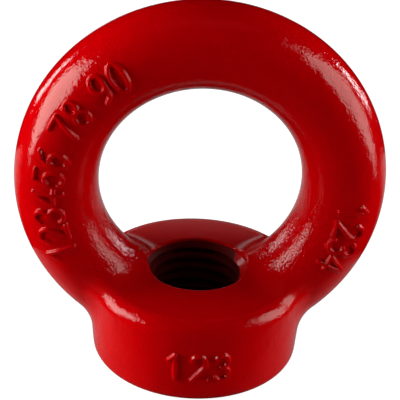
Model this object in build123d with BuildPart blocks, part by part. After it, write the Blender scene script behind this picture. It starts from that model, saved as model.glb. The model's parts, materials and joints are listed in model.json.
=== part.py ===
"""Lifting eye nut, drop forged in one piece and threaded M30.

An upright ring of oval bar grows out of a round collar.  The collar stands on
a flat machined face, and a threaded hole runs through it along Z.  The ring
lies in the XZ plane, and the origin is the centre of the base face.
Millimetres.
"""

import os

from build123d import *

os.makedirs("parts", exist_ok=True)

# ---- driving dimensions ---------------------------------------------------------
# Ring
eye_diameter = 59.5  # clear opening, for a hook or shackle
bar_width = 24.5  # bar section measured in the plane of the ring
bar_depth = 27.0  # bar section measured along the axis of the ring

# Collar
metal_under_bar = 3.15  # from the base face to the lowest point of the ring
eye_sink = 1.2  # how far the collar top stands above the lowest point of the eye
collar_base_radius = 31.1  # before the base edge is rounded
collar_flare = 2.2  # how much wider the collar is at its top than at its base
shoulder_radius = 6.5  # rounding between collar wall and collar top
base_edge_radius = 3.5  # rounding between collar wall and base face
limb_fillet = 12.0  # blend between each limb of the ring and the collar

# Threaded hole, M30 x 3.5
thread_diameter = 30.0
thread_pitch = 3.5
mouth_clearance = 0.2  # how far the countersinks open beyond the thread
mouth_recess = 0.55  # how far the upper countersink starts below the collar top

# ---- sizes that follow from them ---------------------------------------------------
bar_circle_radius = (eye_diameter + bar_width) / 2
collar_height = metal_under_bar + bar_width + eye_sink
eye_height = metal_under_bar + bar_width + eye_diameter / 2
overall_height = metal_under_bar + 2 * bar_width + eye_diameter

# A metric internal thread is 5/8 of its sharp triangle deep.
sharp_thread_height = thread_pitch * 3**0.5 / 2
thread_core_radius = thread_diameter / 2 - sharp_thread_height * 5 / 8
mouth_radius = thread_diameter / 2 + mouth_clearance
countersink_depth = mouth_radius - thread_core_radius
upper_rim_height = collar_height - mouth_recess

eye_axis = Axis((0, 0, eye_height), (0, -1, 0))


with BuildPart() as eye_nut:
    # Half of one limb: the oval bar, cut along the parting plane, starts under
    # the eye and turns up through half a turn to the crown of the ring.
    with BuildSketch(Plane.YZ) as half_bar:
        with Locations((0, eye_height - bar_circle_radius)):
            Ellipse(bar_depth / 2, bar_width / 2)
            Rectangle(2 * bar_depth, 2 * bar_width, align=(Align.MAX, Align.CENTER), mode=Mode.SUBTRACT)
    revolve(axis=eye_axis, revolution_arc=180)

    # The quarter of the collar below that limb, with its flared wall, rounded
    # shoulder and rounded base edge.
    with BuildSketch(Plane.XZ) as collar_section:
        with BuildLine():
            Polyline(
                (0, 0),
                (collar_base_radius, 0),
                (collar_base_radius + collar_flare, collar_height),
                (0, collar_height),
                close=True,
            )
        make_face()
        shoulder_corner = collar_section.vertices().group_by(Axis.Y)[-1].sort_by(Axis.X)[-1]
        fillet(shoulder_corner, shoulder_radius)
        base_corner = collar_section.vertices().group_by(Axis.Y)[0].sort_by(Axis.X)[-1]
        fillet(base_corner, base_edge_radius)
    revolve(axis=Axis.Z, revolution_arc=90)

    # The saddle: one broad fillet runs along the whole line where limb and
    # collar meet, over the top, round the shoulder and down the wall.
    limb_root = eye_nut.edges(Select.NEW)
    fillet(limb_root, limb_fillet)

    # The forging is the same on both sides, and front and back.
    mirror(about=Plane.YZ)
    mirror(about=Plane.XZ)

    # Threaded hole, bored to its core diameter.  The upper countersink is a
    # straight-sided tool, so its wall also cuts into the two limbs.
    with BuildSketch(Plane.XZ) as hole_section:
        with BuildLine():
            Polyline(
                (0, 0),
                (mouth_radius, 0),
                (thread_core_radius, countersink_depth),
                (thread_core_radius, upper_rim_height - countersink_depth),
                (mouth_radius, upper_rim_height),
                (mouth_radius, eye_height),
                (0, eye_height),
                close=True,
            )
        make_face()
    revolve(axis=Axis.Z, mode=Mode.SUBTRACT)

eye_nut.part.label = "eye_nut"
export_step(eye_nut.part, "parts/eye_nut.step")

wall_length = upper_rim_height - 2 * countersink_depth
print(f"overall height {overall_height:.2f}, collar height {collar_height:.2f}, eye centre {eye_height:.2f}")
print(f"thread core radius {thread_core_radius:.3f}, wall {countersink_depth:.3f} + {wall_length:.3f}")
print(f"volume {eye_nut.part.volume / 1000:.2f} cm3, valid {eye_nut.part.is_valid}")
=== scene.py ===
"""Looks of the lifting eye nut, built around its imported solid.

The forging is the CAD node remeshed evenly, laid on the exact surface of ring,
collar and saddle, and raised where the digits stand.  A second piece lines the
hole with the real turns of the thread.  Lengths are in millimetres until a mesh
is made, and every Blender object is in metres.
"""

import json
import math

import bmesh
import bpy
import numpy as np
from mathutils import Matrix, Vector
from mathutils.bvhtree import BVHTree


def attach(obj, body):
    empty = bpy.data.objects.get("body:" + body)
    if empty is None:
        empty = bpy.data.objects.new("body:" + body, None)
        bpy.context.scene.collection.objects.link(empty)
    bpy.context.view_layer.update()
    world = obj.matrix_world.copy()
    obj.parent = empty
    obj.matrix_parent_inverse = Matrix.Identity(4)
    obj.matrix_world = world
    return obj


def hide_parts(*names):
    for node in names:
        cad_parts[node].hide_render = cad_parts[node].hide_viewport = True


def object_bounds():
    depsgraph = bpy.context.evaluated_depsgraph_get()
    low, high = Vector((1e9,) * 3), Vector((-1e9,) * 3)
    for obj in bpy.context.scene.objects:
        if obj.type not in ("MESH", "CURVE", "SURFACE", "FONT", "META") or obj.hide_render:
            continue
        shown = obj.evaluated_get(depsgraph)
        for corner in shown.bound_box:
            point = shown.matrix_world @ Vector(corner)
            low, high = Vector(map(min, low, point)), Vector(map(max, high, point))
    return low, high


MM = 0.001

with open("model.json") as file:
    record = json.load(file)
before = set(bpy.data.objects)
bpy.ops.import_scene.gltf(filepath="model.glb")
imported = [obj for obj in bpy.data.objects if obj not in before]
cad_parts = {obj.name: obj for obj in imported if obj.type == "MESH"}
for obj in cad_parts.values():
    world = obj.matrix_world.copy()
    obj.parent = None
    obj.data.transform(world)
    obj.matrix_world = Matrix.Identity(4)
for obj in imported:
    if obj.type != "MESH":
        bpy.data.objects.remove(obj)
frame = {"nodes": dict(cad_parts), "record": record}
cad_box = [list(corner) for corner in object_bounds()]
cad_node = frame["nodes"]["eye_nut"]
mounts = {mount["name"]: mount for mount in frame["record"]["mounts"]}


# ---- sizes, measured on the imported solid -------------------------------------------
# A ray that runs exactly along a seam of the mesh can miss, so each starts a little aside.
ASIDE = Vector((0.02, 0.03, 0.01))
# Y of the rays that start in front of the solid.
IN_FRONT = -99.0
bpy.context.view_layer.update()
cad_tree = BVHTree.FromObject(cad_node, bpy.context.evaluated_depsgraph_get())


def surface_from(start, direction):
    """The first point of the CAD solid along a ray, in millimetres."""
    hit = cad_tree.ray_cast((Vector(start) + ASIDE) * MM, Vector(direction))[0]
    return np.array(hit) / MM


eye_height = mounts["eye"]["pos_m"][2] / MM
eye_radius = surface_from((0, 0, eye_height), (0, 0, 1))[2] - eye_height
ring_radius = cad_box[1][2] / MM - eye_height
bar_circle_radius = (eye_radius + ring_radius) / 2
bar_half_width = (ring_radius - eye_radius) / 2
bar_half_depth = -surface_from((0, IN_FRONT, eye_height + bar_circle_radius), (0, 1, 0))[1]

# Two heights on the straight part of the collar's wall, and a place over its top that
# is clear of the ring.
LOW_PROBE = 8.0
HIGH_PROBE = 18.0
TOP_PROBE = (0, 22.0, 45.0)
low_radius = -surface_from((0, IN_FRONT, LOW_PROBE), (0, 1, 0))[1]
high_radius = -surface_from((0, IN_FRONT, HIGH_PROBE), (0, 1, 0))[1]
wall_flare = (high_radius - low_radius) / (HIGH_PROBE - LOW_PROBE)
collar_base_radius = low_radius - wall_flare * LOW_PROBE
collar_height = surface_from(TOP_PROBE, (0, 0, -1))[2]

thread_core_radius = mounts["thread"]["dims"]["r_mm"]
thread_length = mounts["thread"]["dims"]["length_mm"]
countersink_depth = mounts["thread"]["pos_m"][2] / MM - thread_length / 2
mouth_radius = thread_core_radius + countersink_depth

# Roundings of the solid, which no straight probe can measure.
BASE_EDGE_RADIUS = 3.5
SADDLE_RADIUS = 12.0
# The shoulder looks tighter on the real forging than on the solid.
SHOULDER_RADIUS = 4.6
# Paint rounds the edges of the hole.
HOLE_EDGE_RADIUS = 0.45
# The forged collar top is a little domed, and falls more towards the front.
DOME_RISE = 0.5
BACK_FALL = 0.8
FRONT_FALL = 1.8


# ---- the surface of the forging ----------------------------------------------------
# Points deeper inside than this are never near a saddle.
SADDLE_DEPTH = 6.0
# How closely a rolling ball has to touch both faces to make a saddle.
TOUCH_TOLERANCE = 0.01
# Keeps a step short where the two faces run nearly the same way.
LEAST_SINE_SQUARED = 0.02
# Keeps a step round the bar's oval short where its slope hardly changes.
LEAST_BEND = -1.0
# The distance to the hole, for points up in the ring where there is none.
NO_HOLE = -9.0


def dot(a, b):
    return (a * b).sum(axis=-1)


def unit(vectors):
    return vectors / np.maximum(np.linalg.norm(vectors, axis=-1, keepdims=True), 1e-9)


def outer_corner(a, normal_a, b, normal_b, radius):
    """Two faces meeting in a rounded convex edge: signed distance and outward normal."""
    cosine = dot(normal_a, normal_b)
    reach_a = a + radius
    reach_b = b + radius
    share_a = reach_a - reach_b * cosine
    share_b = reach_b - reach_a * cosine
    sine_squared = np.maximum(1 - cosine**2, 1e-6)
    length = np.sqrt(np.maximum((reach_a * share_a + reach_b * share_b) / sine_squared, 0))
    round_normal = unit(share_a[:, None] * normal_a + share_b[:, None] * normal_b)
    first = a > b
    distance = np.where(first, a, b)
    normal = np.where(first[:, None], normal_a, normal_b)
    in_round = (share_a > 0) & (share_b > 0)
    distance = np.where(in_round, length - radius, distance)
    return distance, np.where(in_round[:, None], round_normal, normal)


def bar_surface(points):
    """Signed distance and normal of the ring's oval bar."""
    x, y, z = points.T
    across = np.stack([x, np.zeros_like(x), z - eye_height], axis=1)
    radial = unit(across)
    s = np.linalg.norm(across, axis=1) - bar_circle_radius
    a, b = bar_half_width, bar_half_depth
    angle = np.arctan2(y * a, s * b)
    for _ in range(5):
        sine, cosine = np.sin(angle), np.cos(angle)
        slope = -a * s * sine + b * y * cosine + (a * a - b * b) * sine * cosine
        bend = -a * s * cosine - b * y * sine + (a * a - b * b) * np.cos(2 * angle)
        angle = angle - slope / np.minimum(bend, LEAST_BEND)
    sine, cosine = np.sin(angle), np.cos(angle)
    flat_normal = unit(np.stack([cosine / a, sine / b], axis=1))
    gap = np.stack([s - a * cosine, y - b * sine], axis=1)
    normal = radial * flat_normal[:, :1]
    normal[:, 1] = flat_normal[:, 1]
    return dot(gap, flat_normal), normal


def collar_surface(points):
    """Signed distance and normal of the round collar."""
    x, y, z = points.T
    r = np.hypot(x, y)
    outward = unit(np.stack([x, y, np.zeros_like(x)], axis=1))
    up = np.zeros_like(points)
    up[:, 2] = 1
    wall_normal = unit(outward - wall_flare * up)
    wall = (r - collar_base_radius - wall_flare * z) / math.hypot(1, wall_flare)
    even = (FRONT_FALL + BACK_FALL) / 2 / collar_base_radius**2
    lean = (FRONT_FALL - BACK_FALL) / 2 / collar_base_radius**2
    safe_r = np.maximum(r, 1e-6)
    top = collar_height + DOME_RISE - even * r * r + lean * r * y
    slope_x = 2 * even * x - lean * x * y / safe_r
    slope_y = 2 * even * y - lean * (r + y * y / safe_r)
    top_normal = unit(np.stack([slope_x, slope_y, np.ones_like(x)], axis=1))
    rise = (z - top) * top_normal[:, 2]
    shoulder, shoulder_normal = outer_corner(wall, wall_normal, rise, top_normal, SHOULDER_RADIUS)
    foot, foot_normal = outer_corner(wall, wall_normal, -z, -up, BASE_EDGE_RADIUS)
    high = z > collar_height / 2
    return np.where(high, shoulder, foot), np.where(high[:, None], shoulder_normal, foot_normal)


def saddle_centre(points, start_normal):
    """Where a ball that touches bar and collar has its centre, level with each point."""
    centre = points + SADDLE_RADIUS * start_normal
    for _ in range(8):
        a, normal_a = bar_surface(centre)
        b, normal_b = collar_surface(centre)
        cosine = dot(normal_a, normal_b)
        sine_squared = np.maximum(1 - cosine**2, LEAST_SINE_SQUARED)
        miss_a = SADDLE_RADIUS - a
        miss_b = SADDLE_RADIUS - b
        step_a = (miss_a - cosine * miss_b) / sine_squared
        step_b = (miss_b - cosine * miss_a) / sine_squared
        along = unit(np.cross(normal_a, normal_b))
        slide = dot(points - centre, along)
        centre = centre + step_a[:, None] * normal_a + step_b[:, None] * normal_b
        centre = centre + slide[:, None] * along
    return centre


def forging_surface(points):
    """Signed distance and normal of ring and collar with the saddles between them."""
    a, normal_a = bar_surface(points)
    b, normal_b = collar_surface(points)
    first = a < b
    distance = np.where(first, a, b)
    normal = np.where(first[:, None], normal_a, normal_b)
    near = (np.abs(a) < SADDLE_RADIUS) & (np.abs(b) < SADDLE_RADIUS)
    near &= np.minimum(a, b) > -SADDLE_DEPTH
    near &= points[:, 2] > BASE_EDGE_RADIUS
    near = np.flatnonzero(near)
    if len(near) == 0:
        return distance, normal
    here = points[near]
    centre = saddle_centre(here, unit(normal_a[near] + normal_b[near]))
    touch_a = -bar_surface(centre)[1]
    touch_b = -collar_surface(centre)[1]
    arm = here - centre
    cosine = dot(touch_a, touch_b)
    part_a = dot(arm, touch_a)
    part_b = dot(arm, touch_b)
    inside = (part_a - cosine * part_b > 0) & (part_b - cosine * part_a > 0)
    inside &= np.abs(bar_surface(centre)[0] - SADDLE_RADIUS) < TOUCH_TOLERANCE
    inside &= np.abs(collar_surface(centre)[0] - SADDLE_RADIUS) < TOUCH_TOLERANCE
    chosen = near[inside]
    length = np.linalg.norm(arm[inside], axis=1)
    distance[chosen] = SADDLE_RADIUS - length
    normal[chosen] = -arm[inside] / length[:, None]
    return distance, normal


def body_surface(points):
    """The forging with its straight hole, whose edges the paint rounds."""
    x, y, z = points.T
    outer, outer_normal = forging_surface(points)
    hole = np.where(z < eye_height, mouth_radius - np.hypot(x, y), NO_HOLE)
    hole_normal = -unit(np.stack([x, y, np.zeros_like(x)], axis=1))
    return outer_corner(outer, outer_normal, hole, hole_normal, HOLE_EDGE_RADIUS)


def lay_on_body(points, rounds=4):
    """Moves points onto the forging. Returns them with the surface's normals."""
    for _ in range(rounds):
        distance, normal = body_surface(points)
        points = points - distance[:, None] * normal
    return points, normal


# ---- the raised digits -------------------------------------------------------------
# Each digit is drawn in a box one unit wide and one unit high, as strokes.
def arc(centre_x, centre_y, radius_x, radius_y, start, end, steps=14):
    angles = np.radians(np.linspace(start, end, steps))
    return [(centre_x + radius_x * math.cos(a), centre_y + radius_y * math.sin(a)) for a in angles]


DIGITS = {
    "0": [arc(0.5, 0.5, 0.44, 0.5, 0, 360, 24)],
    "1": [[(0.2, 0.76), (0.58, 1.0), (0.58, 0.0)]],
    "2": [arc(0.48, 0.71, 0.42, 0.29, 165, -35) + [(0.06, 0.0), (0.95, 0.0)]],
    "3": [arc(0.45, 0.76, 0.38, 0.24, 150, -90), arc(0.45, 0.26, 0.44, 0.26, 90, -150)],
    "4": [[(0.72, 0.0), (0.72, 1.0), (0.05, 0.3), (0.98, 0.3)]],
    "5": [[(0.88, 1.0), (0.2, 1.0), (0.14, 0.56)] + arc(0.48, 0.32, 0.43, 0.32, 140, -145)],
    "6": [arc(0.5, 0.3, 0.42, 0.3, 0, 360, 20), [(0.08, 0.3), (0.13, 0.6), (0.34, 0.86), (0.74, 1.0)]],
    "7": [[(0.05, 1.0), (0.95, 1.0), (0.4, 0.0)]],
    "8": [arc(0.5, 0.76, 0.35, 0.24, 0, 360, 20), arc(0.5, 0.26, 0.43, 0.26, 0, 360, 20)],
    "9": [arc(0.5, 0.7, 0.42, 0.3, 0, 360, 20), [(0.92, 0.7), (0.87, 0.4), (0.66, 0.14), (0.26, 0.0)]],
}

DIGIT_WIDTH = 4.7
DIGIT_HEIGHT = 8.6
DIGIT_RISE = 0.85
# Half the width of a stroke at its top and at its foot.
STROKE_TOP = 0.3
STROKE_FOOT = 0.9
# How far beyond a digit's corners, and beyond the bar and the collar that carry the
# digits, their strokes are looked for.
DIGIT_MARGIN = 2.0
CARRIER_MARGIN = 1.0

# Where the digits stand on the ring: degrees round the eye from the crown, clockwise
# from the front, and the middle of their height as an angle round the bar's oval.
RING_TEXT = [
    ("1", -113.4), ("2", -105.6), ("3", -97.8), ("4", -90.0), ("5", -82.2), ("6", -74.4),
    ("7", -61.8), ("8", -53.8), ("9", -41.0), ("0", -33.4),
    ("1", 94.1), ("2", 102.5), ("3", 110.2), ("4", 117.6),
]
RING_TEXT_LEVEL = math.radians(8.5)
# How much of the way up a digit on the ring also leads away from the eye's centre.
RING_TEXT_SPREAD = 0.97
# Where they stand on the collar: millimetres round its wall from the front, and the
# height of their middle.
COLLAR_TEXT = [("1", -7.0), ("2", 0.0), ("3", 6.6)]
COLLAR_TEXT_HEIGHT = 12.9


def stroke_distance(u, v, strokes):
    """How far flat points lie from a digit's strokes."""
    best = np.full(len(u), 1e9)
    for stroke in strokes:
        line = np.array(stroke) * (DIGIT_WIDTH, DIGIT_HEIGHT)
        line = line - (DIGIT_WIDTH / 2, DIGIT_HEIGHT / 2)
        for (x0, y0), (x1, y1) in zip(line[:-1], line[1:]):
            dx, dy = x1 - x0, y1 - y0
            along = ((u - x0) * dx + (v - y0) * dy) / max(dx * dx + dy * dy, 1e-9)
            along = np.clip(along, 0, 1)
            best = np.minimum(best, np.hypot(u - x0 - along * dx, v - y0 - along * dy))
    return best


def digit_distance(points):
    """The distance of each point to the nearest stroke of any digit, in millimetres."""
    best = np.full(len(points), 1e9)
    x, y, z = points.T
    reach = math.hypot(DIGIT_WIDTH, DIGIT_HEIGHT) / 2 + DIGIT_MARGIN
    up = z - eye_height
    across = np.hypot(x, up)
    offset = across - bar_circle_radius
    turn = np.arctan2(x, up)
    level = np.arctan2(offset / bar_half_width, -y / bar_half_depth)
    text_radius = bar_circle_radius + bar_half_width * math.sin(RING_TEXT_LEVEL)
    rise = (level - RING_TEXT_LEVEL) * (bar_half_width + bar_half_depth) / 2
    on_ring = (y < 0) & (np.abs(rise) < reach)
    on_ring &= np.abs(offset) < bar_half_width + CARRIER_MARGIN
    for digit, degrees in RING_TEXT:
        run = (turn - math.radians(degrees) + math.pi) % (2 * math.pi) - math.pi
        run = run * (text_radius + rise * RING_TEXT_SPREAD)
        near = np.flatnonzero(on_ring & (np.abs(run) < reach))
        found = stroke_distance(run[near], rise[near], DIGITS[digit])
        best[near] = np.minimum(best[near], found)
    on_collar = (y < 0) & (z < collar_height)
    on_collar &= np.hypot(x, y) > collar_base_radius - CARRIER_MARGIN
    run = np.arctan2(x, -y) * collar_base_radius
    for digit, place in COLLAR_TEXT:
        near = np.flatnonzero(on_collar & (np.abs(run - place) < reach))
        found = stroke_distance(run[near] - place, z[near] - COLLAR_TEXT_HEIGHT, DIGITS[digit])
        best[near] = np.minimum(best[near], found)
    return best


def digit_rise(points):
    """How high the digits lift the surface at each point, in millimetres."""
    part = (STROKE_FOOT - digit_distance(points)) / (STROKE_FOOT - STROKE_TOP)
    part = np.clip(part, 0, 1)
    return DIGIT_RISE * part * part * (3 - 2 * part)


# ---- the forging's mesh ------------------------------------------------------------
COARSE_STEP = 0.95
# How far from a stroke, and from an edge of the hole, the mesh is made finer each time.
FINE_ZONES = [1.7, 1.3]
EDGE_ZONES = [1.6, 0.9]
# How far to each side a slope of the digits is measured.
SLOPE_STEP = 0.05
FAR = 99.0


def new_object(name, data):
    made = bpy.data.objects.new(name, data)
    bpy.context.scene.collection.objects.link(made)
    return made


def even_copy(node, step):
    """A fresh mesh of evenly sized quads round a copy of the node."""
    copy = node.copy()
    copy.data = node.data.copy()
    copy.parent = None
    bpy.context.scene.collection.objects.link(copy)
    remesh = copy.modifiers.new("even", "REMESH")
    remesh.mode = "VOXEL"
    remesh.voxel_size = step * MM
    bpy.context.view_layer.update()
    evaluated = copy.evaluated_get(bpy.context.evaluated_depsgraph_get())
    mesh = bpy.data.meshes.new_from_object(evaluated)
    bpy.data.objects.remove(copy)
    return mesh


def mesh_points(mesh):
    flat = np.zeros(len(mesh.vertices) * 3)
    mesh.vertices.foreach_get("co", flat)
    return flat.reshape(-1, 3) / MM


def set_points(mesh, points):
    mesh.vertices.foreach_set("co", (points * MM).ravel())
    mesh.update()


def refine(mesh, chosen):
    """Splits every edge whose two ends are both chosen."""
    work = bmesh.new()
    work.from_mesh(mesh)
    work.verts.ensure_lookup_table()
    edges = [e for e in work.edges if chosen[e.verts[0].index] and chosen[e.verts[1].index]]
    bmesh.ops.subdivide_edges(work, edges=edges, cuts=1, use_grid_fill=True)
    work.to_mesh(mesh)
    work.free()


def hole_edge_distance(points):
    """How far each point is from the rounded edges at the hole's two ends."""
    radius = np.hypot(points[:, 0], points[:, 1])
    outer = forging_surface(points)[0]
    away = np.where(points[:, 2] < eye_height, 0.0, FAR)
    return np.hypot(radius - mouth_radius, outer) + away


def raised_normals(points, normal):
    """The surface normals once the digits are raised on it."""
    steep = np.abs(normal[:, 2:]) < 0.9
    side = unit(np.cross(normal, np.where(steep, (0.0, 0.0, 1.0), (1.0, 0.0, 0.0))))
    tilted = normal
    for way in (side, np.cross(normal, side)):
        step = SLOPE_STEP * way
        slope = (digit_rise(points + step) - digit_rise(points - step)) / (2 * SLOPE_STEP)
        tilted = tilted - slope[:, None] * way
    return unit(tilted)


def build_forging():
    mesh = even_copy(cad_node, COARSE_STEP)
    points, _ = lay_on_body(mesh_points(mesh), rounds=8)
    set_points(mesh, points)
    for digit_zone, edge_zone in zip(FINE_ZONES, EDGE_ZONES):
        points = mesh_points(mesh)
        refine(mesh, (digit_distance(points) < digit_zone) | (hole_edge_distance(points) < edge_zone))
        points, _ = lay_on_body(mesh_points(mesh))
        set_points(mesh, points)
    points, normal = lay_on_body(mesh_points(mesh))
    shading = raised_normals(points, normal)
    set_points(mesh, points + digit_rise(points)[:, None] * normal)
    mesh.shade_smooth()
    mesh.normals_split_custom_set_from_vertices(shading)
    return new_object("forging", mesh)


# ---- the thread --------------------------------------------------------------------
THREAD_MAJOR_RADIUS = 15.0
THREAD_PITCH = 3.5
# Where in a turn the groove runs out of the hole: at the back and left.
THREAD_START = 0.415
# Half a crest and one flank of a metric internal thread, as shares of its pitch.
HALF_CREST = 1 / 8
FLANK = 5 / 16
# The lining starts a little inside the base face. Its back is hidden in the forging,
# a little wider than the mouths and a little short of the lining's two ends.
LINING_START = 0.3
LINING_BACK_START = 0.4
LINING_BACK_GAP = 0.02
LINING_BACK_DEPTH = 0.3
LINING_STEPS_ROUND = 216
LINING_STEP_HIGH = 0.2


def thread_radius(turn, height):
    """The threaded hole's radius, with flat crests and roots and a 60-degree thread angle."""
    phase = (height / THREAD_PITCH - turn / (2 * math.pi) + THREAD_START) % 1.0
    from_crest = np.minimum(phase, 1 - phase)
    part = np.clip((from_crest - HALF_CREST) / FLANK, 0, 1)
    radius = thread_core_radius + (THREAD_MAJOR_RADIUS - thread_core_radius) * part
    low_cone = mouth_radius - height
    high_cone = mouth_radius - (2 * countersink_depth + thread_length - height)
    return np.maximum(radius, np.maximum(low_cone, high_cone))


def build_thread():
    high = 2 * countersink_depth + thread_length
    rows = int(round((high - LINING_START) / LINING_STEP_HIGH)) + 1
    heights = np.linspace(LINING_START, high, rows)
    turns = np.linspace(0, 2 * math.pi, LINING_STEPS_ROUND, endpoint=False)
    turn, height = np.meshgrid(turns, heights)
    radius = thread_radius(turn, height)
    rings = [np.stack([radius * np.cos(turn), radius * np.sin(turn), height], axis=2)]
    back_x = (mouth_radius + LINING_BACK_DEPTH) * np.cos(turns)
    back_y = (mouth_radius + LINING_BACK_DEPTH) * np.sin(turns)
    for end in (high - LINING_BACK_GAP, LINING_BACK_START):
        rings.append(np.stack([back_x, back_y, np.full_like(turns, end)], axis=1)[None])
    grid = np.concatenate(rings)
    levels = len(grid)
    points = grid.reshape(-1, 3)
    faces = []
    for level in range(levels):
        above = (level + 1) % levels
        for step in range(LINING_STEPS_ROUND):
            after = (step + 1) % LINING_STEPS_ROUND
            a = level * LINING_STEPS_ROUND + step
            b = level * LINING_STEPS_ROUND + after
            c = above * LINING_STEPS_ROUND + after
            d = above * LINING_STEPS_ROUND + step
            faces.append((a, d, c, b))
    mesh = bpy.data.meshes.new("thread")
    mesh.from_pydata((points * MM).tolist(), [], faces)
    mesh.shade_smooth()
    return new_object("thread", mesh)


# ---- materials ---------------------------------------------------------------------
def new_material(name):
    material = bpy.data.materials.new(name)
    material.use_nodes = True
    tree = material.node_tree
    tree.nodes.clear()
    return material, tree


def add(tree, kind, **values):
    """A node, with its sockets set by name."""
    node = tree.nodes.new(kind)
    for name, value in values.items():
        node.inputs[name.replace("_", " ")].default_value = value
    return node


def show(tree, surface, kind="ShaderNodeOutputMaterial"):
    """Makes a shader's socket what the material or the world shows."""
    output = tree.nodes.new(kind)
    tree.links.new(surface, output.inputs["Surface"])


def place_on_object(tree):
    """The place on the object in metres, whole and as X, Y and Z."""
    coordinates = tree.nodes.new("ShaderNodeTexCoord").outputs["Object"]
    split = tree.nodes.new("ShaderNodeSeparateXYZ")
    tree.links.new(coordinates, split.inputs["Vector"])
    return coordinates, [split.outputs[axis] for axis in "XYZ"]


def ramp(tree, value, span, start=0.0, end=1.0):
    """Goes evenly from start to end as the value crosses the span, and is level beyond."""
    node = tree.nodes.new("ShaderNodeMapRange")
    node.inputs["From Min"].default_value = span[0]
    node.inputs["From Max"].default_value = span[1]
    node.inputs["To Min"].default_value = start
    node.inputs["To Max"].default_value = end
    tree.links.new(value, node.inputs["Value"])
    return node.outputs["Result"]


def noise(tree, coordinates, scale, detail=3.0):
    node = add(tree, "ShaderNodeTexNoise", Scale=scale, Detail=detail)
    tree.links.new(coordinates, node.inputs["Vector"])
    return node.outputs["Fac"]


def mix_colors(tree, factor, first, second):
    node = tree.nodes.new("ShaderNodeMix")
    node.data_type = "RGBA"
    for socket, value in (("A", first), ("B", second)):
        target = [s for s in node.inputs if s.name == socket and s.type == "RGBA"][0]
        if hasattr(value, "is_output"):
            tree.links.new(value, target)
        else:
            target.default_value = (*value, 1)
    tree.links.new(factor, node.inputs["Factor"])
    return [s for s in node.outputs if s.type == "RGBA"][0]


def combine(tree, operation, first, second):
    """A sum or product of a socket and a second one, or a plain number."""
    node = tree.nodes.new("ShaderNodeMath")
    node.operation = operation
    tree.links.new(first, node.inputs[0])
    if isinstance(second, float):
        node.inputs[1].default_value = second
    else:
        tree.links.new(second, node.inputs[1])
    return node.outputs["Value"]


def times(tree, first, second):
    return combine(tree, "MULTIPLY", first, second)


def plus(tree, first, second):
    return combine(tree, "ADD", first, second)


def bump(tree, height, depth, strength=1.0, below=None):
    """A layer of bumps, with its depth in metres, laid over the layer below it."""
    node = add(tree, "ShaderNodeBump", Strength=strength, Distance=depth)
    tree.links.new(height, node.inputs["Height"])
    if below is not None:
        tree.links.new(below, node.inputs["Normal"])
    return node.outputs["Normal"]


def ripple_layer(tree, coordinates, layer, amount, below=None):
    """Noise that swings evenly about nought, as bumps that an amount makes weaker."""
    scale, detail, depth = layer
    swing = ramp(tree, noise(tree, coordinates, scale, detail), WHOLE, -0.5, 0.5)
    return bump(tree, times(tree, swing, amount), depth, below=below)


WHOLE = (0.0, 1.0)
# Noise mostly keeps to this part of its range.
NOISE_SPAN = (0.3, 0.7)

# The enamel. Its tone and its roughness both vary a little from place to place.
PAINT_COLOR = (0.49, 0.0, 0.001)
PAINT_DEEP_COLOR = (0.45, 0.0, 0.001)
PAINT_IOR = 1.42
PAINT_ROUGHNESS = (0.05, 0.09)
TONE_SCALE = 60.0
GLOSS_SCALE = 180.0
# Layers of unevenness: noise scale, detail, and depth in metres.
DENTS = (170.0, 2.0, 0.00025)
SWELL = (520.0, 1.0, 0.00008)
ORANGE_PEEL = (1500.0, 1.0, 0.00012)
# The collar's top is duller and smoother. It starts and ends at these heights in metres.
TOP_START = (0.0272, 0.0280)
TOP_END = (0.030, 0.034)
TOP_DULLNESS = 0.1
DENTS_TOP = 0.15
RIPPLE_TOP = 0.2
# The paint ripples most round the saddle, and less up the ring, on the collar's wall
# and on the outside of the left limb. The spans are where one gives way to the other.
RIPPLE_SADDLE = 1.2
RIPPLE_RING = 0.7
RIPPLE_WALL = 0.45
RIPPLE_LEFT = 0.55
RING_TO_SADDLE = (0.062, 0.045)
WALL_TO_SADDLE = (0.019, 0.034)
LEFT_TO_MIDDLE = (-0.042, -0.030)

# The thread is dark bare steel, with some paint in its upper right. Its colour has a red cast, partly
# a haze of overspray on the steel and partly painted reflection of the red paint round the hole.
THREAD_STEEL_AND_RED_BOUNCE_COLOR = (0.10, 0.003, 0.004)
THREAD_ROUGHNESS = 0.45
THREAD_SHEEN = 0.04
THREAD_GRAIN_SCALE = 700.0
THREAD_GRAIN_DEPTH = 0.0001
THREAD_GRAIN_STRENGTH = 0.3
THREAD_PAINT_ROUGHNESS = 0.2
THREAD_PAINT_SHEEN = 0.2
# The paint's lower edge wanders this much and fades over this height, in metres.
THREAD_PAINT_WANDER = 0.0012
THREAD_PAINT_WANDER_SCALE = 220.0
THREAD_PAINT_FADE = 0.0005
# To the side it starts on a line a little askew to the object's Y.
THREAD_PAINT_SKEW = -0.25
THREAD_PAINT_SIDE = (0.0098, 0.0108)


def ripple_amount(tree, on_top, x, z):
    """How strongly the paint ripples from place to place."""
    ring = ramp(tree, z, RING_TO_SADDLE, RIPPLE_RING, RIPPLE_SADDLE)
    wall = ramp(tree, z, WALL_TO_SADDLE, RIPPLE_WALL, 1.0)
    left = ramp(tree, x, LEFT_TO_MIDDLE, RIPPLE_LEFT, 1.0)
    top = ramp(tree, on_top, WHOLE, 1.0, RIPPLE_TOP)
    return times(tree, times(tree, times(tree, ring, wall), top), left)


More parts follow.
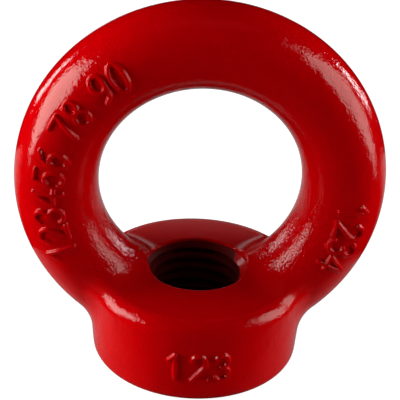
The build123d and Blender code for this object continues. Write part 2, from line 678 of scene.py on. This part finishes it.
def paint_material():
    """Glossy red enamel with a little orange peel."""
    material, tree = new_material("red_enamel")
    coordinates, (x, _, z) = place_on_object(tree)
    shader = add(tree, "ShaderNodeBsdfPrincipled", IOR=PAINT_IOR)

    tone = ramp(tree, noise(tree, coordinates, TONE_SCALE), NOISE_SPAN)
    color = mix_colors(tree, tone, PAINT_DEEP_COLOR, PAINT_COLOR)
    tree.links.new(color, shader.inputs["Base Color"])

    on_top = times(tree, ramp(tree, z, TOP_START), ramp(tree, z, TOP_END, 1.0, 0.0))
    gloss = ramp(tree, noise(tree, coordinates, GLOSS_SCALE), NOISE_SPAN, *PAINT_ROUGHNESS)
    gloss = plus(tree, gloss, times(tree, on_top, TOP_DULLNESS))
    tree.links.new(gloss, shader.inputs["Roughness"])

    dented = ramp(tree, on_top, WHOLE, 1.0, DENTS_TOP)
    rippled = ripple_amount(tree, on_top, x, z)
    wide = ripple_layer(tree, coordinates, DENTS, dented)
    middle = ripple_layer(tree, coordinates, SWELL, rippled, wide)
    fine = ripple_layer(tree, coordinates, ORANGE_PEEL, rippled, middle)
    tree.links.new(fine, shader.inputs["Normal"])
    show(tree, shader.outputs["BSDF"])
    return material


def thread_material(paint_start):
    """Dark bare steel, with the paint reaching a little way in from the top. Its red cast is partly
    overspray and partly painted reflection of the red paint round the hole.
    """
    material, tree = new_material("dark_thread")
    coordinates, (x, y, z) = place_on_object(tree)
    shader = tree.nodes.new("ShaderNodeBsdfPrincipled")

    wander = noise(tree, coordinates, THREAD_PAINT_WANDER_SCALE, detail=4.0)
    ragged = plus(tree, times(tree, wander, THREAD_PAINT_WANDER), z)
    high = ramp(tree, ragged, (paint_start, paint_start + THREAD_PAINT_FADE))
    side = plus(tree, x, times(tree, y, THREAD_PAINT_SKEW))
    painted = times(tree, high, ramp(tree, side, THREAD_PAINT_SIDE))

    # The bare steel's red cast is partly overspray and partly painted reflection of the red paint
    # round the hole.
    color = mix_colors(tree, painted, THREAD_STEEL_AND_RED_BOUNCE_COLOR, PAINT_COLOR)
    gloss = ramp(tree, painted, WHOLE, THREAD_ROUGHNESS, THREAD_PAINT_ROUGHNESS)
    sheen = ramp(tree, painted, WHOLE, THREAD_SHEEN, THREAD_PAINT_SHEEN)
    grain = noise(tree, coordinates, THREAD_GRAIN_SCALE)
    grain = bump(tree, grain, THREAD_GRAIN_DEPTH, THREAD_GRAIN_STRENGTH)
    tree.links.new(color, shader.inputs["Base Color"])
    tree.links.new(gloss, shader.inputs["Roughness"])
    tree.links.new(sheen, shader.inputs["Specular IOR Level"])
    tree.links.new(grain, shader.inputs["Normal"])
    show(tree, shader.outputs["BSDF"])
    return material


# ---- the object --------------------------------------------------------------------
# How far above the thread's upper end the paint stops, in millimetres.
PAINT_STOP = 0.3

forging = build_forging()
forging.data.materials.clear()
forging.data.materials.append(paint_material())
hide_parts("eye_nut")
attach(forging, "root")

thread = build_thread()
thread.data.materials.append(thread_material((countersink_depth + thread_length + PAINT_STOP) * MM))
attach(thread, "root")


# ---- floor, lamps and cloths -------------------------------------------------------
# From here on, lengths are in metres. Azimuth 0 is towards -Y, and lamps and softboxes
# are placed round the middle of the object.
MIDDLE = Vector((0, 0, 0.055))

# The floor glows and takes a soft shadow where it is seen, and bounces less light.
FLOOR_RADIUS = 6.0
FLOOR_GLOW = 0.94
FLOOR_SHADE = 0.25
FLOOR_BOUNCE = 0.6

# Softboxes that only reflections see: name, how bright the face is, and its corners as
# azimuth and elevation, shaped so that the highlights have the outlines they should.
# Corners that would be under the floor are brought nearer, until they stand SOFTBOX_FOOT
# above it.
SOFTBOX_DISTANCE = 1.0
SOFTBOX_TINT = (1.0, 1.0, 0.93)
SOFTBOX_FOOT = 0.002
SOFTBOXES = [
    ("left_softbox", 6.4, [
        (-105, 30), (-78, 35), (-63, 22), (-63, 12), (-83, -10), (-96, 1), (-108, 14), (-108, 22),
    ]),
    ("right_softbox", 3.5, [
        (72, 41), (84, 47), (105, 30), (105, 22), (97, 0), (88, -12), (67, 2), (62, 27),
    ]),
]

# Lamps: name, whether reflections show it, azimuth, elevation and roll in degrees,
# distance, width, height, and how bright the face is.
LAMPS = [
    ("left_back_strip", True, -130, 10, 0, 1.0, 0.16, 0.36, 7.0),
    ("right_back_strip", True, 123, 10, 0, 1.0, 0.13, 0.30, 12.0),
    ("left_wide", False, -86, 12, -30, 1.0, 0.90, 0.60, 6.1),
    ("left_low", False, -90, 3, 0, 1.0, 0.90, 0.20, 17.0),
    ("right_wide", False, 80, 12, 0, 1.0, 0.70, 0.92, 3.3),
    ("right_low", False, 90, 3, 0, 1.0, 0.90, 0.20, 12.0),
    ("top", False, 0, 85, 0, 0.16, 0.12, 0.03, 2.6),
]

# Cloths that only reflections see, as studios hang them to keep paint deep. The tent and
# the floor cloth are black. On the floor cloth lie a pale one behind the object and a
# dim one close round its foot. Each rise is where a glow starts and where it is full,
# along the cloth's own Y: in metres on the disc, and in parts of the side on a sheet.
TENT_RADIUS = 2.0
FLOOR_CLOTH_OVERLAP = 0.1
FLOOR_CLOTH_HEIGHT = 0.0004
PALE_CLOTH_DISTANCE = 0.10
PALE_CLOTH_HEIGHT = 0.0006
PALE_CLOTH_WIDTH = 0.5
PALE_CLOTH_LENGTH = 0.10
PALE_CLOTH_RISE = (-0.5, 0.0)
PALE_CLOTH_GLOW = 0.4
FOOT_CLOTH_HEIGHT = 0.0008
FOOT_CLOTH_RADIUS = 0.078
FOOT_CLOTH_RISE = (-0.034, 0.0)
FOOT_CLOTH_GLOW = 0.22

# A card that stands close behind, brightest in its lower part.
BACK_CARD_DISTANCE = 0.15
BACK_CARD_WIDTH = 0.11
BACK_CARD_BOTTOM = 0.054
BACK_CARD_HEIGHT = 0.037
BACK_CARD_RISE = (0.38, -0.25)
BACK_CARD_GLOW = 0.8


def direction(azimuth, elevation):
    a, e = math.radians(azimuth), math.radians(elevation)
    return Vector((math.cos(e) * math.sin(a), -math.cos(e) * math.cos(a), math.sin(e)))


def facing(azimuth, elevation, roll):
    """The turn of a lamp or camera that stands in that direction and looks back."""
    level = direction(azimuth, elevation).to_track_quat("Z", "Y").to_matrix()
    return level @ Matrix.Rotation(math.radians(roll), 3, "Z")


def seen_white(tree):
    """1 for rays from the camera and for what gloss and glass show, else 0."""
    path = tree.nodes.new("ShaderNodeLightPath")
    total = path.outputs["Is Camera Ray"]
    for name in ("Is Glossy Ray", "Is Transmission Ray"):
        either = tree.nodes.new("ShaderNodeMath")
        either.operation = "MAXIMUM"
        tree.links.new(total, either.inputs[0])
        tree.links.new(path.outputs[name], either.inputs[1])
        total = either.outputs["Value"]
    return total


def add_floor():
    """White wherever it is seen, but for a soft shadow, and plain to the light it bounces."""
    bpy.ops.mesh.primitive_circle_add(vertices=96, radius=FLOOR_RADIUS, fill_type="NGON")
    floor = bpy.context.object
    floor.name = "floor"
    material, tree = new_material("white_floor")
    plain = add(tree, "ShaderNodeBsdfDiffuse", Color=(FLOOR_BOUNCE, FLOOR_BOUNCE, FLOOR_BOUNCE, 1))
    shade = add(tree, "ShaderNodeBsdfDiffuse", Color=(FLOOR_SHADE, FLOOR_SHADE, FLOOR_SHADE, 1))
    glow = add(tree, "ShaderNodeEmission", Color=(1, 1, 1, 1), Strength=FLOOR_GLOW)
    seen = tree.nodes.new("ShaderNodeAddShader")
    tree.links.new(shade.outputs["BSDF"], seen.inputs[0])
    tree.links.new(glow.outputs["Emission"], seen.inputs[1])
    mixed = tree.nodes.new("ShaderNodeMixShader")
    tree.links.new(seen_white(tree), mixed.inputs["Fac"])
    tree.links.new(plain.outputs["BSDF"], mixed.inputs[1])
    tree.links.new(seen.outputs["Shader"], mixed.inputs[2])
    show(tree, mixed.outputs["Shader"])
    floor.data.materials.append(material)
    return floor


def only_in_reflections(thing):
    thing.visible_camera = False
    thing.visible_diffuse = False
    thing.visible_shadow = False
    thing.visible_transmission = False
    return thing


def make_cloth(cloth, name, rise=WHOLE, glow_level=0.0):
    """Turns the new object into a cloth that only reflections see, and that is black
    unless it is given a glow."""
    cloth.name = name
    material, tree = new_material(name)
    _, (_, y, _) = place_on_object(tree)
    glow = add(tree, "ShaderNodeEmission", Color=(1, 1, 1, 1))
    tree.links.new(ramp(tree, y, rise, 0.0, glow_level), glow.inputs["Strength"])
    show(tree, glow.outputs["Emission"])
    cloth.data.materials.append(material)
    return only_in_reflections(cloth)


def add_disc(radius, height):
    place = (0, 0, height)
    bpy.ops.mesh.primitive_circle_add(vertices=64, radius=radius, fill_type="NGON", location=place)
    return bpy.context.object


def add_sheet(width, length, place, lean=0.0):
    """A flat oblong, lying down unless it leans."""
    bpy.ops.mesh.primitive_plane_add(size=1.0, location=place, rotation=(lean, 0, 0))
    sheet = bpy.context.object
    sheet.scale = (width, length, 1.0)
    return sheet


def add_cloths():
    bpy.ops.mesh.primitive_uv_sphere_add(segments=32, ring_count=16, radius=TENT_RADIUS)
    tent = make_cloth(bpy.context.object, "tent")
    wide = add_disc(TENT_RADIUS + FLOOR_CLOTH_OVERLAP, FLOOR_CLOTH_HEIGHT)
    wide = make_cloth(wide, "floor_cloth")
    place = (0, PALE_CLOTH_DISTANCE, PALE_CLOTH_HEIGHT)
    pale = add_sheet(PALE_CLOTH_WIDTH, PALE_CLOTH_LENGTH, place)
    pale = make_cloth(pale, "pale_cloth", PALE_CLOTH_RISE, PALE_CLOTH_GLOW)
    near = add_disc(FOOT_CLOTH_RADIUS, FOOT_CLOTH_HEIGHT)
    near = make_cloth(near, "foot_cloth", FOOT_CLOTH_RISE, FOOT_CLOTH_GLOW)
    place = (0, BACK_CARD_DISTANCE, BACK_CARD_BOTTOM + BACK_CARD_HEIGHT / 2)
    card = add_sheet(BACK_CARD_WIDTH, BACK_CARD_HEIGHT, place, math.pi / 2)
    card = make_cloth(card, "back_card", BACK_CARD_RISE, BACK_CARD_GLOW)
    return [tent, wide, pale, near, card]


def softbox_corner(azimuth, elevation):
    reach = SOFTBOX_DISTANCE
    if elevation < 0:
        reach = min(reach, (MIDDLE.z - SOFTBOX_FOOT) / math.sin(math.radians(-elevation)))
    return MIDDLE + reach * direction(azimuth, elevation)


def add_softbox(name, brightness, corners):
    rim = [softbox_corner(*corner) for corner in corners]
    mesh = bpy.data.meshes.new(name)
    mesh.from_pydata(rim, [], [range(len(rim))])
    material, tree = new_material(name)
    glow = add(tree, "ShaderNodeEmission", Color=(*SOFTBOX_TINT, 1), Strength=brightness)
    show(tree, glow.outputs["Emission"])
    mesh.materials.append(material)
    return only_in_reflections(new_object(name, mesh))


def add_lamp(name, shown, azimuth, elevation, roll, distance, width, height, brightness):
    lamp = bpy.data.lights.new(name, "AREA")
    lamp.shape = "RECTANGLE"
    lamp.size = width
    lamp.size_y = height
    lamp.energy = brightness * math.pi * width * height
    holder = new_object(name, lamp)
    holder.location = MIDDLE + distance * direction(azimuth, elevation)
    holder.rotation_euler = facing(azimuth, elevation, roll).to_euler()
    holder.visible_camera = False
    holder.visible_glossy = shown


def add_world():
    """White where it is seen. It lights nothing."""
    world = bpy.data.worlds.new("studio")
    bpy.context.scene.world = world
    world.use_nodes = True
    tree = world.node_tree
    tree.nodes.clear()
    background = add(tree, "ShaderNodeBackground", Color=(1, 1, 1, 1))
    tree.links.new(seen_white(tree), background.inputs["Strength"])
    show(tree, background.outputs["Background"], "ShaderNodeOutputWorld")


floor = add_floor()
cloths = add_cloths()
softboxes = [add_softbox(*softbox) for softbox in SOFTBOXES]
for lamp in LAMPS:
    add_lamp(*lamp)
add_world()


# ---- camera ------------------------------------------------------------------------
CAMERA_AIM = Vector((0.06, 0, 50.6)) * MM
CAMERA_DISTANCE = 0.37716
CAMERA_AZIMUTH = -3.165
CAMERA_ELEVATION = 27.28
CAMERA_ROLL = 2.409
CAMERA_LENS = 115.07
CAMERA_SENSOR = 36.0
CAMERA_CLIP = 0.01


def add_camera():
    lens = bpy.data.cameras.new("camera")
    lens.lens = CAMERA_LENS
    lens.sensor_width = CAMERA_SENSOR
    lens.clip_start = CAMERA_CLIP
    camera = new_object("camera", lens)
    place = CAMERA_AIM + CAMERA_DISTANCE * direction(CAMERA_AZIMUTH, CAMERA_ELEVATION)
    turn = facing(CAMERA_AZIMUTH, CAMERA_ELEVATION, CAMERA_ROLL)
    camera.matrix_world = Matrix.Translation(place) @ turn.to_4x4()
    bpy.context.scene.camera = camera


add_camera()
bpy.context.scene.view_settings.view_transform = "Standard"
